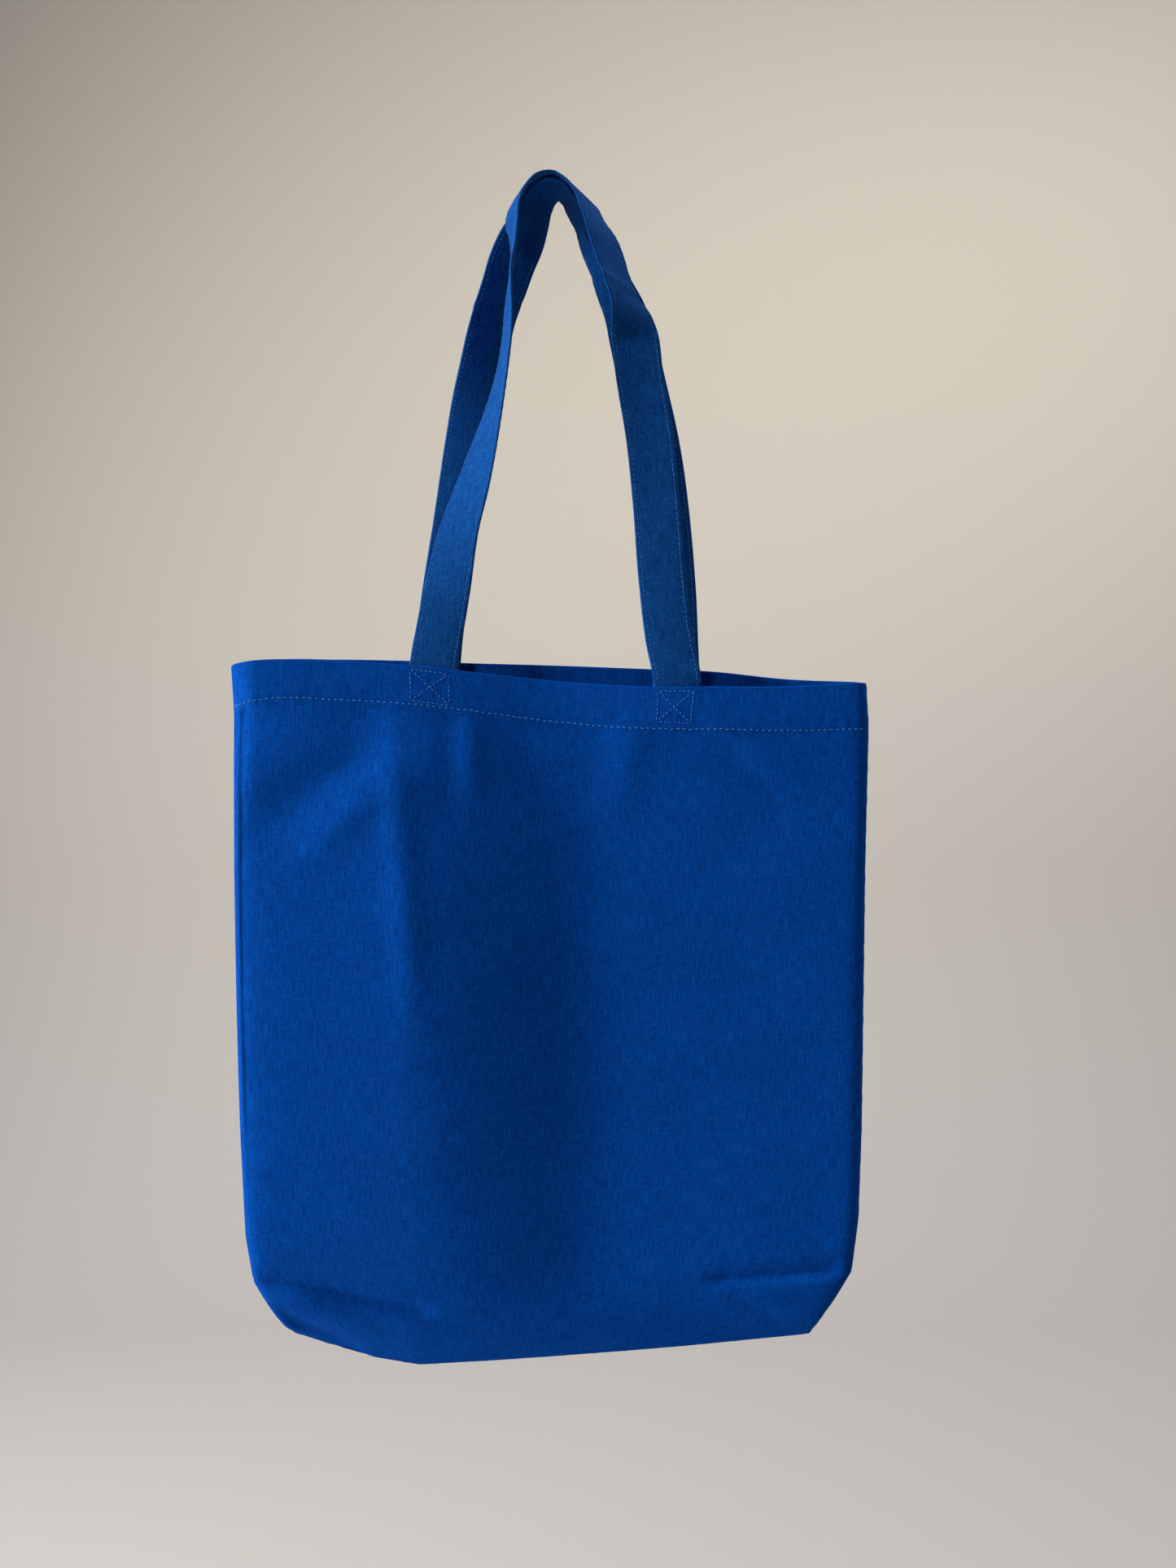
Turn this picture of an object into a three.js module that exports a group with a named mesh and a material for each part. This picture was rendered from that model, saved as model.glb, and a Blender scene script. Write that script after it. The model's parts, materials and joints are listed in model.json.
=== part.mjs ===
// Canvas tote bag with two long handles, empty and hanging by the handles from a hook.
// Millimetres. +Z is up, -Y is the front of the bag, +X is its right side.
// The origin is the top of the hook, where the inner handle bears on it.
import * as THREE from 'three';

// Cloth, strap and thread.
const PANEL_CLOTH = 1.4;
const HEM_CLOTH = 2.6;
const HEM_DEPTH = 25;
const HEM_STEP = 0.5;
const STRAP_CLOTH = 1.5;
const STRAP_WIDTH = 28;
const SEWN_LENGTH = 24;
const GAP = 0.3;
const THREAD_RISE = 0.4;
const THREAD_WIDTH = 0.7;

// Panels: every row has the same columns, as fractions of the width from the left side seam.
// The strap facets are the two pairs of columns that the handle ends are sewn between.
const COLUMNS = [0, 0.05, 0.27, 0.38, 0.515, 0.65, 0.76, 0.95, 1];
const SEAM_EDGE = 2.2;
const HEM_OUT = [SEAM_EDGE, 5, 10, 10, 10.5, 10, 10, 5, SEAM_EDGE];
const UPPER_OUT = { left: -194, right: 180.5, height: -400 };
const LOWER_OUT = { left: -190, right: 178.5, height: -560 };
const CREASE = { left: -184, right: 174 };
const BOTTOM = { left: -158, right: 147 };
const BOTTOM_HEIGHTS = [-679, -684, -698, -696, -693, -689.5, -687, -681.5, -680];
const MOUTH = { left: -196.5, right: 181 };

const FRONT_ROWS = [
  { ...MOUTH, heights: [-284, -282, -285, -285, -290, -295.3, -295.3, -295, -293], out: HEM_OUT },
  { ...UPPER_OUT, out: [SEAM_EDGE, 8, 15, 16, 14, 16, 15, 8, SEAM_EDGE] },
  { ...LOWER_OUT, out: [SEAM_EDGE, 12, 24, 25, 23, 25, 24, 12, SEAM_EDGE] },
  { ...CREASE, heights: [-638, -637, -638, -643, -643, -638, -634, -634, -636],
    out: [SEAM_EDGE, 16, 29, 30, 28, 29, 28, 16, SEAM_EDGE] },
  { ...BOTTOM, heights: BOTTOM_HEIGHTS, out: COLUMNS.map(() => SEAM_EDGE) },
];
const BACK_FLAT = [SEAM_EDGE, 8, 14, 16, 16, 16, 14, 8, SEAM_EDGE];
const BACK_ROWS = [
  { ...MOUTH, heights: [-283, -279.5, -279.3, -279.3, -281.5, -284, -284, -291.5, -293], out: HEM_OUT },
  { ...UPPER_OUT, out: BACK_FLAT },
  { ...LOWER_OUT, out: BACK_FLAT },
  { ...CREASE, heights: [-638, -640, -640, -640, -640, -640, -640, -638, -636], out: BACK_FLAT },
  { ...BOTTOM, heights: BOTTOM_HEIGHTS, out: COLUMNS.map(() => SEAM_EDGE) },
];

// Handles: centre line of the webbing as [x, y, z, turn], from the left root over the hook to the
// right root. Turn is in degrees: 0 faces front and back, 90 lays the width over the hook.
const FRONT_LOOP = [
  [-75.5, -6.35, -284.2, 0], [-75.4, -6.35, -280, 0], [-72, -6, -262, 0], [-66.5, -5.5, -224, 10],
  [-54.4, -7, -178, 36], [-46.6, -9, -150, 50], [-38, -11, -117, 67], [-33, -13.5, -84, 78],
  [-31.3, -17, -55, 90], [-29.5, -19, -35, 90], [-26, -17, -14, 90], [-18.5, -10.5, 0.5, 90],
  [-8.5, -8, 6.4, 90], [0, -8, 4.4, 90], [9, -9.5, -2.4, 90], [17, -12, -11, 82],
  [20.5, -14.5, -20, 70], [25, -16, -31, 60], [31, -15.5, -45, 58], [38, -12, -64, 30],
  [43, -8, -84, 6], [46.6, -5.5, -117, 0], [52.2, -5, -149, 0], [57, -5, -196, 0],
  [63, -5.8, -255, 0], [68.9, -6.35, -290, 0], [69, -6.35, -294.5, 0],
];
const BACK_LOOP = [
  [-75.5, 6.35, -278.5, 0], [-75.4, 6.35, -274, 0], [-63.6, 6, -196, 0], [-55, 6.5, -145, 0],
  [-46.6, 7.5, -103, 0], [-38.3, 8.7, -71, 0], [-30.5, 9.3, -48, 8], [-20.5, 7.2, -32, 28],
  [-14.6, 4.6, -24.5, 46], [-13, 2.4, -17, 66], [-12.2, 1.5, -7.5, 88], [-6.5, 1.2, 2.3, 90],
  [0, 1.2, 0.75, 90], [5.5, 1.2, -4.8, 88], [10, 2.4, -13.5, 68], [13, 6, -24, 42],
  [19, 8.6, -36.5, 16], [27.5, 8.8, -50, 3], [37.5, 8.2, -72, 0], [45.6, 7, -106, 0],
  [55.8, 6, -148, 0], [62.4, 5.8, -192, 0], [68.9, 6.35, -279, 0], [69, 6.35, -283.2, 0],
];
const LOOP_STEPS = 64;
const EDGE_THREAD_INSET = 2.6;

// Box of stitches with a cross in it, sewn through the hem at each handle end.
const BOX_WIDTH = 22.5;
const BOX_HEIGHT = 19;
const BOX_DROP = 1.5;
const HEM_THREAD_DROP = 22.5;

// Seams.
const SEAM_CLOTH = 1;
const SEAM_ALLOWANCE = 8;
const SEAM_TURN = 5;

const CANVAS_BLUE = 0x0b3f8c;
const STRAP_BLUE = 0x1a4a94;
const SEAM_BLUE = 0x08326f;
const THREAD_BLUE = 0x7fa6da;

function mesh(name, geometry, colour) {
  geometry.computeVertexNormals();
  const material = new THREE.MeshStandardMaterial({ color: colour, roughness: 0.9, flatShading: true });
  const made = new THREE.Mesh(geometry, material);
  made.name = name;
  return made;
}

function signedVolume(points, faces) {
  let volume = 0;
  for (const [a, b, c] of faces) {
    volume += points[a].dot(points[b].clone().cross(points[c])) / 6;
  }
  return volume;
}

// A closed solid from points and triangles, turned so that its faces point out.
function closedSolid(points, faces) {
  const outward = signedVolume(points, faces) > 0;
  const index = faces.flatMap(([a, b, c]) => (outward ? [a, b, c] : [a, c, b]));
  const geometry = new THREE.BufferGeometry();
  geometry.setAttribute('position', new THREE.Float32BufferAttribute(points.flatMap((p) => p.toArray()), 3));
  geometry.setIndex(index);
  return geometry.toNonIndexed();
}

// A bar through a list of sections, each the same number of corners in the same turning order.
function loft(sections) {
  const corners = sections[0].length;
  const faces = [];
  for (let s = 0; s + 1 < sections.length; s += 1) {
    for (let c = 0; c < corners; c += 1) {
      const a = s * corners + c;
      const b = s * corners + ((c + 1) % corners);
      faces.push([a, b, b + corners], [a, b + corners, a + corners]);
    }
  }
  // The ends are capped with a ladder, so a flat section with points along its faces has no thin fan.
  const last = (sections.length - 1) * corners;
  for (let c = 0; c + 1 < corners / 2; c += 1) {
    const opposite = corners - 1 - c;
    faces.push([c, opposite, c + 1], [c + 1, opposite, opposite - 1]);
    faces.push([last + c, last + c + 1, last + opposite], [last + c + 1, last + opposite - 1, last + opposite]);
  }
  return closedSolid(sections.flat(), faces);
}

// A thin shell between two grids of points with the same rows and columns.
function shell(outer, inner) {
  const rows = outer.length;
  const columns = outer[0].length;
  const at = (side, r, c) => (side * rows + r) * columns + c;
  const faces = [];
  const quad = (a, b, c, d) => faces.push([a, b, c], [a, c, d]);
  for (let r = 0; r + 1 < rows; r += 1) {
    for (let c = 0; c + 1 < columns; c += 1) {
      quad(at(0, r, c), at(0, r + 1, c), at(0, r + 1, c + 1), at(0, r, c + 1));
      quad(at(1, r, c), at(1, r, c + 1), at(1, r + 1, c + 1), at(1, r + 1, c));
    }
  }
  for (let r = 0; r + 1 < rows; r += 1) {
    quad(at(0, r, 0), at(1, r, 0), at(1, r + 1, 0), at(0, r + 1, 0));
    quad(at(0, r, columns - 1), at(0, r + 1, columns - 1), at(1, r + 1, columns - 1), at(1, r, columns - 1));
  }
  for (let c = 0; c + 1 < columns; c += 1) {
    quad(at(0, 0, c), at(0, 0, c + 1), at(1, 0, c + 1), at(1, 0, c));
    quad(at(0, rows - 1, c), at(1, rows - 1, c), at(1, rows - 1, c + 1), at(0, rows - 1, c + 1));
  }
  return closedSolid([...outer.flat(), ...inner.flat()], faces);
}

const rowHeight = (row, c) => (row.heights ? row.heights[c] : row.height);

// The point of a panel's outer face at a row and column. side is -1 for the front, 1 for the back.
function panelPoint(row, c, side) {
  const x = THREE.MathUtils.lerp(row.left, row.right, COLUMNS[c]);
  return new THREE.Vector3(x, side * row.out[c], rowHeight(row, c));
}

// The rows of a panel with the folded edge of the hem put in below the mouth.
function rowsWithHem(rows) {
  const [mouth, ...rest] = rows;
  const lower = (drop) => ({ ...mouth, heights: mouth.heights.map((z) => z - drop) });
  return [mouth, lower(HEM_DEPTH), lower(HEM_DEPTH + HEM_STEP), ...rest];
}

function panel(rows, side) {
  const all = rowsWithHem(rows);
  const outer = all.map((row) => COLUMNS.map((_, c) => panelPoint(row, c, side)));
  const inner = outer.map((points, r) => points.map((point, c) => {
    const folded = r < 2 && c > 0 && c + 1 < COLUMNS.length;
    const cloth = folded ? HEM_CLOTH : PANEL_CLOTH;
    return new THREE.Vector3(point.x, point.y - side * cloth, point.z);
  }));
  return shell(outer, inner);
}

// A line of stitches along a hem, a set distance below the mouth and just off the outer face.
function hemThread(rows, side) {
  const sections = COLUMNS.map((_, c) => {
    const point = panelPoint(rows[0], c, side);
    const near = point.y + side * GAP;
    const far = near + side * THREAD_RISE;
    const low = point.z - HEM_THREAD_DROP;
    const high = low + THREAD_WIDTH;
    return [[near, low], [far, low], [far, high], [near, high]].map(([y, z]) => new THREE.Vector3(point.x, y, z));
  });
  return loft(sections);
}

function crossedBox() {
  const outline = new THREE.Shape();
  const w = BOX_WIDTH / 2;
  const h = BOX_HEIGHT / 2;
  outline.moveTo(-w, -h).lineTo(w, -h).lineTo(w, h).lineTo(-w, h).closePath();
  const x = w - THREAD_WIDTH;
  const z = h - THREAD_WIDTH;
  const cross = THREAD_WIDTH * 0.8;
  const holes = [
    [[-x + cross, -z], [x - cross, -z], [0, -cross]],
    [[x, -z + cross], [x, z - cross], [cross, 0]],
    [[x - cross, z], [-x + cross, z], [0, cross]],
    [[-x, z - cross], [-x, -z + cross], [-cross, 0]],
  ];
  for (const corners of holes) {
    outline.holes.push(new THREE.Path(corners.map(([a, b]) => new THREE.Vector2(a, b))));
  }
  return outline;
}

// The crossed box of stitches at one handle end, flat on the outer face of the hem.
function boxThread(rows, side, x, mouth) {
  const geometry = new THREE.ExtrudeGeometry(crossedBox(), { depth: THREAD_RISE, bevelEnabled: false });
  geometry.rotateX(Math.PI / 2);
  const outer = HEM_OUT[2] + GAP;
  const y = side < 0 ? -outer : outer + THREAD_RISE;
  return geometry.translate(x, y, mouth - BOX_DROP - BOX_HEIGHT / 2);
}

// The end of a handle, sewn flat to the inside of the hem.
function sewnEnd(side, x, mouth) {
  const geometry = new THREE.BoxGeometry(STRAP_WIDTH, STRAP_CLOTH, SEWN_LENGTH);
  const y = side * (HEM_OUT[2] - HEM_CLOTH - GAP - STRAP_CLOTH / 2);
  return geometry.translate(x, y, mouth - SEWN_LENGTH / 2);
}

// Centre, width direction and outward face direction all along a handle.
function loopFrames(stations, side) {
  const path = new THREE.CatmullRomCurve3(stations.map(([x, y, z]) => new THREE.Vector3(x, y, z)), false, 'centripetal');
  const turns = new THREE.CatmullRomCurve3(stations.map(([, , , turn], i) => new THREE.Vector3(i, turn, 0)));
  const frames = [];
  for (let i = 0; i <= LOOP_STEPS; i += 1) {
    const t = i / LOOP_STEPS;
    const centre = path.getPoint(t);
    const tangent = path.getTangent(t);
    const turn = THREE.MathUtils.degToRad(THREE.MathUtils.clamp(turns.getPoint(t).y, 0, 90));
    // On the way up the width turns one way, and on the way down the other, as one continuous band.
    const falling = tangent.x > 0 && t > 0.5 ? 1 : -1;
    const lean = side < 0 ? falling : -falling;
    const across = new THREE.Vector3(Math.cos(turn), lean * Math.sin(turn), 0);
    frames.push({ centre, tangent, across });
  }
  return frames;
}

// The band's width never reverses: where the rising leg hands over to the falling leg, flip it.
function bandFrames(stations, side) {
  const frames = loopFrames(stations, side);
  let before = frames[0].across;
  for (const frame of frames) {
    if (frame.across.dot(before) < 0) {
      frame.across.negate();
    }
    before = frame.across;
    const tangent = frame.tangent;
    frame.across.addScaledVector(tangent, -frame.across.dot(tangent)).normalize();
    frame.face = new THREE.Vector3().crossVectors(frame.across, tangent).normalize();
  }
  return frames;
}

function bandSection({ centre, across, face }, low, high, near, far) {
  return [[low, near], [high, near], [high, far], [low, far]].map(([w, t]) => (
    centre.clone().addScaledVector(across, w).addScaledVector(face, t)));
}

// A handle's section has points across its faces as well, so that its twist stays even.
function handle(stations, side) {
  const half = STRAP_WIDTH / 2;
  const thick = STRAP_CLOTH / 2;
  const shares = [-1, -0.78, -0.26, 0.26, 0.78, 1];
  return loft(bandFrames(stations, side).map(({ centre, across, face }) => {
    const at = (share, t) => centre.clone().addScaledVector(across, share * half).addScaledVector(face, t);
    return [...shares.map((share) => at(share, -thick)), ...shares.toReversed().map((share) => at(share, thick))];
  }));
}

// A line of stitches along one edge of a handle, just off its outer face. edge is -1 or 1.
function edgeThread(stations, side, edge) {
  const middle = edge * (STRAP_WIDTH / 2 - EDGE_THREAD_INSET);
  const near = STRAP_CLOTH / 2 + GAP;
  const out = side < 0 ? 1 : -1;
  return loft(bandFrames(stations, side).map((frame) => bandSection(
    frame, middle - THREAD_WIDTH / 2, middle + THREAD_WIDTH / 2, out * near, out * (near + THREAD_RISE))));
}

// A strip of seam allowance between the two panels, through a list of [x, z] points of its
// outer edge. in is the direction from that edge into the bag.
function seamStrip(points, inward) {
  const half = SEAM_CLOTH / 2;
  return loft(points.map(([x, z]) => {
    const corners = [[0, -half], [SEAM_ALLOWANCE, -half], [SEAM_ALLOWANCE, half], [0, half]];
    return corners.map(([step, y]) => new THREE.Vector3(x + inward[0] * step, y, z + inward[1] * step));
  }));
}

function sideSeam(key, inward) {
  const rows = [FRONT_ROWS[0], FRONT_ROWS[1], FRONT_ROWS[2], FRONT_ROWS[3]];
  const column = key === 'left' ? 0 : COLUMNS.length - 1;
  const points = rows.map((row) => [row[key], rowHeight(row, column)]);
  points[0][1] -= GAP;
  points[points.length - 1][1] += SEAM_TURN;
  return seamStrip(points, [inward, 0]);
}

function cornerSeam(key, inward) {
  const column = key === 'left' ? 0 : COLUMNS.length - 1;
  const top = new THREE.Vector2(CREASE[key], FRONT_ROWS[3].heights[column]);
  const end = new THREE.Vector2(BOTTOM[key], BOTTOM_HEIGHTS[column]);
  const along = end.clone().sub(top).normalize();
  const into = new THREE.Vector2(-along.y * inward, Math.abs(along.x)).normalize();
  into.x = Math.abs(into.x) * inward;
  const start = top.clone().addScaledVector(along, SEAM_TURN);
  const stop = end.clone().addScaledVector(along, -SEAM_TURN);
  return seamStrip([start.toArray(), stop.toArray()], into.toArray());
}

function bottomSeam() {
  const points = COLUMNS.map((fraction, c) => [
    THREE.MathUtils.lerp(BOTTOM.left, BOTTOM.right, fraction), BOTTOM_HEIGHTS[c]]);
  points[0][0] += SEAM_TURN;
  points[points.length - 1][0] -= SEAM_TURN;
  return seamStrip(points, [0, 1]);
}

const SIDES = [
  { name: 'front', side: -1, rows: FRONT_ROWS, loop: FRONT_LOOP },
  { name: 'back', side: 1, rows: BACK_ROWS, loop: BACK_LOOP },
];
const ENDS = [{ name: 'left', column: 2, end: 0 }, { name: 'right', column: 5, end: -1 }];

function build() {
  const bag = new THREE.Group();
  bag.name = 'canvas_tote_bag';
  for (const { name, side, rows, loop } of SIDES) {
    bag.add(mesh(`${name}_panel`, panel(rows, side), CANVAS_BLUE));
    bag.add(mesh(`${name}_hem_thread`, hemThread(rows, side), THREAD_BLUE));
    bag.add(mesh(`${name}_handle`, handle(loop, side), STRAP_BLUE));
    for (const { name: place, column, end } of ENDS) {
      const x = loop.at(end)[0];
      const mouth = rows[0].heights[column];
      bag.add(mesh(`${name}_handle_${place}_end`, sewnEnd(side, x, mouth), STRAP_BLUE));
      bag.add(mesh(`${name}_box_thread_${place}`, boxThread(rows, side, x, mouth), THREAD_BLUE));
      const edge = place === 'left' ? -1 : 1;
      bag.add(mesh(`${name}_handle_thread_${place}`, edgeThread(loop, side, edge), THREAD_BLUE));
    }
  }
  bag.add(mesh('left_side_seam', sideSeam('left', 1), SEAM_BLUE));
  bag.add(mesh('right_side_seam', sideSeam('right', -1), SEAM_BLUE));
  bag.add(mesh('left_corner_seam', cornerSeam('left', 1), SEAM_BLUE));
  bag.add(mesh('right_corner_seam', cornerSeam('right', -1), SEAM_BLUE));
  bag.add(mesh('bottom_seam', bottomSeam(), SEAM_BLUE));
  return bag;
}

export default build();
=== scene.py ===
"""Looks for the canvas tote bag: sculpted cloth panels, folded straps, real stitches and seams."""
import json
import math

import bpy
import numpy as np
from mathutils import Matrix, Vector

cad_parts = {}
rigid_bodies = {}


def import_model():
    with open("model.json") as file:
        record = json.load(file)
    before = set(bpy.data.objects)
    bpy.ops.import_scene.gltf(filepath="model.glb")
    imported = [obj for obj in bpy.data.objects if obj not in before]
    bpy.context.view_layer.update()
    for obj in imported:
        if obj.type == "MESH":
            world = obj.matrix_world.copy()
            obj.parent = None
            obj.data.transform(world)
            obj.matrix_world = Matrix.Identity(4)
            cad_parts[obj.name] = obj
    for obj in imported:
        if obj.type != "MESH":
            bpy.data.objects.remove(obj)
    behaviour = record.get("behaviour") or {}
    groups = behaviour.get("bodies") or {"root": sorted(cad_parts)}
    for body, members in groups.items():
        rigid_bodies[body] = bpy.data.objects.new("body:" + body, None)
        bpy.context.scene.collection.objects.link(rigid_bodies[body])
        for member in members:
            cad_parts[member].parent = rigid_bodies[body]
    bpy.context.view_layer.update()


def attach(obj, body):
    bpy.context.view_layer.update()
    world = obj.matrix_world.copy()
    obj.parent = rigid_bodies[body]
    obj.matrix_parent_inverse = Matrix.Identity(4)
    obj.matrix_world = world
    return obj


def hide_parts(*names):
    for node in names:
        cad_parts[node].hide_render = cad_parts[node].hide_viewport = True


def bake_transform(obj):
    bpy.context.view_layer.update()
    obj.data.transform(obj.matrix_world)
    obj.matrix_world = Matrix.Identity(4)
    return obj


MM = 0.001

# Camera: distances in metres, sensor in millimetres.
CAMERA_DISTANCE = 0.68
CAMERA_X = 0.0153
CAMERA_Z = -0.353
VIEW_HEIGHT = 0.935
SENSOR_HEIGHT = 24.0

# Cloth, in millimetres.
CLOTH = 0.55
HEM_CLOTH = 1.5
HEM_DEPTH = 25.0
STRAP_WIDTH = 28.0
STRAP_CLOTH = 1.7
BAG_WIDTH = 380.0
PANEL_CUT = 425.0
COLUMNS_ACROSS = 150
ROWS_DOWN = 170
PLACE_ROUNDS = 4

# Stitches, in millimetres: the thread's radius, and each kind's length and pitch.
THREAD = 0.24
BOX_THREAD = 0.8 * THREAD
EDGE_THREAD = 0.85 * THREAD
HEM_STITCH = (2.2, 3.6)
BOX_STITCH = (1.9, 2.7)
EDGE_STITCH = (2.0, 2.9)

FRONT, BACK = -1.0, 1.0
STITCH_SEED = 7
rng = np.random.default_rng(STITCH_SEED)


# ---------------------------------------------------------------- curves and surfaces

def slopes(knots, values):
    """Tangents of a smooth curve through values at the knots, for any shape of values."""
    span = np.diff(knots).reshape((-1,) + (1,) * (values.ndim - 1))
    rise = np.diff(values, axis=0) / span
    inner = (rise[:-1] * span[1:] + rise[1:] * span[:-1]) / (span[1:] + span[:-1])
    return np.concatenate([rise[:1], inner, rise[-1:]])


def smooth(knots, values, at):
    """A smooth curve through values at the knots, read at the given places."""
    knots = np.asarray(knots, float)
    values = np.asarray(values, float)
    at = np.clip(np.asarray(at, float), knots[0], knots[-1])
    tangents = slopes(knots, values)
    i = np.clip(np.searchsorted(knots, at, side="right") - 1, 0, len(knots) - 2)
    width = knots[i + 1] - knots[i]
    t = (at - knots[i]) / width
    shape = t.shape + (1,) * (values.ndim - 1)
    t = t.reshape(shape)
    width = width.reshape(shape)
    a = (1 + 2 * t) * (1 - t) ** 2
    b = t * (1 - t) ** 2
    c = t * t * (3 - 2 * t)
    d = t * t * (t - 1)
    return a * values[i] + b * width * tangents[i] + c * values[i + 1] + d * width * tangents[i + 1]


def step(low, high, x):
    """0 below low, 1 above high, and a smooth rise between."""
    t = np.clip((x - low) / (high - low), 0, 1)
    return t * t * (3 - 2 * t)


def hump(x, centre, width):
    """A round bump of height 1 at the centre."""
    return np.exp(-((x - centre) / width) ** 2)


def ridge(x, z, start, end, width):
    """A soft fold along a line: 1 on the line, fading beside it and towards its ends."""
    a = np.array(start, float)
    d = np.array(end, float) - a
    length = np.hypot(*d)
    along = ((x - a[0]) * d[0] + (z - a[1]) * d[1]) / length ** 2
    beside = ((x - a[0]) * d[1] - (z - a[1]) * d[0]) / length
    return hump(beside, 0, width) * step(-0.15, 0.25, along) * (1 - step(0.6, 1.15, along))


# How far each wave of uneven noise bends, in radians, and how long its bends are in its own pitches.
WAVE_BEND = 1.05
WAVE_BEND_PITCH = 2.3


def wander(x, z, scale, seed, layers=5):
    """Smooth uneven noise between about -1 and 1, from a few crossing waves."""
    draw = np.random.default_rng(seed)
    total = np.zeros_like(x)
    for _ in range(layers):
        angle = draw.uniform(0, math.pi)
        pitch = scale * draw.uniform(0.7, 1.6)
        phase = draw.uniform(0, 2 * math.pi)
        across = x * math.sin(angle) - z * math.cos(angle)
        along = x * math.cos(angle) + z * math.sin(angle)
        bend = WAVE_BEND * np.sin(2 * math.pi * across / (WAVE_BEND_PITCH * pitch) + phase)
        total += np.sin(2 * math.pi * along / pitch + phase + bend)
    return total / layers


# ---------------------------------------------------------------- the panels

# Each panel is laid out in mm on rows from the mouth, 0, to the bottom seam, 1, and on columns from
# its left edge, 0, to its right, 1. Row two is the bottom of the hem, and is worked out.
ROW_AT = [0.0, 0.06, 0.27, 0.65, 0.79, 0.865, 0.93, 1.0]
LEFT_X = [-197, -195.3, -193.8, -189.3, -187.2, -183.6, -170, -160]
RIGHT_X = [181, 182.4, 180.4, 178.2, 176.3, 172.4, 157.4, 147]
COLUMN_AT = [0, 0.06, 0.16, 0.245, 0.38, 0.5, 0.65, 0.76, 0.88, 1]
UPPER_Z = [-400] * len(COLUMN_AT)
MIDDLE_Z = [-560] * len(COLUMN_AT)
BOTTOM_Z = [-679, -685, -694, -698.3, -696, -693.5, -690, -687.2, -683.6, -680]
FRONT_Z = [
    [-284, -281.6, -281.8, -283.2, -288.0, -292.6, -296.2, -296.3, -296.2, -293.5],
    None,
    UPPER_Z,
    MIDDLE_Z,
    [-614, -612, -612, -612, -614, -615, -612, -610, -610, -612],
    [-643, -640, -638, -641, -646, -647, -642, -636, -637, -641],
    [-668, -668, -667, -671, -672, -671, -668, -663, -663, -665],
    BOTTOM_Z,
]
# The front cloth stands proud on the left and falls, over a long slanting fold, to a flatter right.
FOLD_ROW_AT = [0.0, 0.07, 0.13, 0.3, 0.49, 0.68, 0.83, 0.88, 0.94, 1.0]
PROUD_Y = [14.0, 15.8, 21.2, 28.0, 31.0, 30.5, 26.5, 21.5, 13.0, 0.8]
FLAT_Y = [8.2, 7.6, 6.4, 6.4, 7.2, 9.6, 12.0, 12.2, 9.0, 0.8]
FOLD_TOP_X, FOLD_LOW_X = -101.0, -78.0
FOLD_TOP_END_X, FOLD_LOW_END_X = 26.0, 40.0
FALL_AT = [0, 0.125, 0.25, 0.375, 0.5, 0.625, 0.75, 0.875, 1]
FALL = [0, 0.045, 0.15, 0.3, 0.475, 0.66, 0.84, 0.955, 1]
# How the cloth rounds in to its side seams: shares of the depth, each fading over a reach in mm.
LEFT_ROUND = [(0.86, 3.0), (0.14, 12.0)]
RIGHT_ROUND = [(1.0, 2.6)]
BACK_Z = [
    [-283, -279.3, -278.6, -278.8, -280.6, -281.8, -284.0, -285.6, -290.5, -293],
    None,
    UPPER_Z,
    MIDDLE_Z,
    [-614] * len(COLUMN_AT),
    [-643, -642, -642, -643, -643, -643, -643, -641, -641, -641],
    [-668, -668, -668, -672, -672, -671, -669, -667, -665, -665],
    BOTTOM_Z,
]
BACK_BODY_Y = [0, 8.5, 13.5, 15, 15.6, 15.6, 15.2, 14.5, 12, 0]
BACK_Y = [
    [0, 3.5, 7.5, 10, 10.4, 10.6, 10, 10, 7.5, 0],
    [0, 4.5, 9, 11, 11, 11, 10.6, 11, 8.6, 0],
    BACK_BODY_Y,
    BACK_BODY_Y,
    BACK_BODY_Y,
    [0, 8, 13, 15, 15.4, 15.4, 15, 14, 11, 0],
    [0, 5, 8, 10, 10.5, 10.5, 10, 9, 7, 0],
    [0, 0.5, 0.8, 1, 1, 1, 1, 1, 0.7, 0],
]
SEAM_Y = 0.9
# Pressed creases above the base, as (x, z) places.
LEFT_CREASE = [(-184, -640.5), (-161, -642.5), (-132, -648), (-102, -655), (-76, -660.5)]
RIGHT_CREASE = [(84, -643.5), (112, -642), (144, -639.5), (176, -638)]
# Drag lines below the handles, then puckers at the bottom corners: height out, the (x, z) places
# of the two ends, and width. A height below zero is a furrow.
FRONT_RIDGES = [
    (2.0, (-98, -316), (-82, -500), 9),
    (0.5, (-90, -316), (-168, -348), 9),
    (-3.4, (-96, -318), (-190, -392), 20),
    (1.4, (-100, -345), (-150, -400), 11),
    (1.3, (-54, -312), (-52, -362), 6),
    (-1.0, (-66, -314), (-64, -380), 8),
    (-0.9, (-30, -316), (-4, -372), 12),
    (1.4, (44, -314), (30, -380), 12),
    (1.0, (88, -316), (140, -350), 9),
    (-0.8, (92, -326), (136, -372), 9),
    (-3.2, (-172, -658), (-116, -690), 6),
    (1.6, (-160, -646), (-104, -676), 8),
    (-0.6, (98, -652), (128, -668), 4),
]


def rows_below_mouth(rows):
    """The rows with the second one worked out, a hem's depth below the mouth."""
    return [rows[0], [z - HEM_DEPTH for z in rows[0]], *rows[2:]]


def rounding(inset, shares):
    """Rises from 0 at a side seam to 1 inside it."""
    return 1 - sum(share * np.exp(-np.maximum(inset, 0) / reach) for share, reach in shares)


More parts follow.
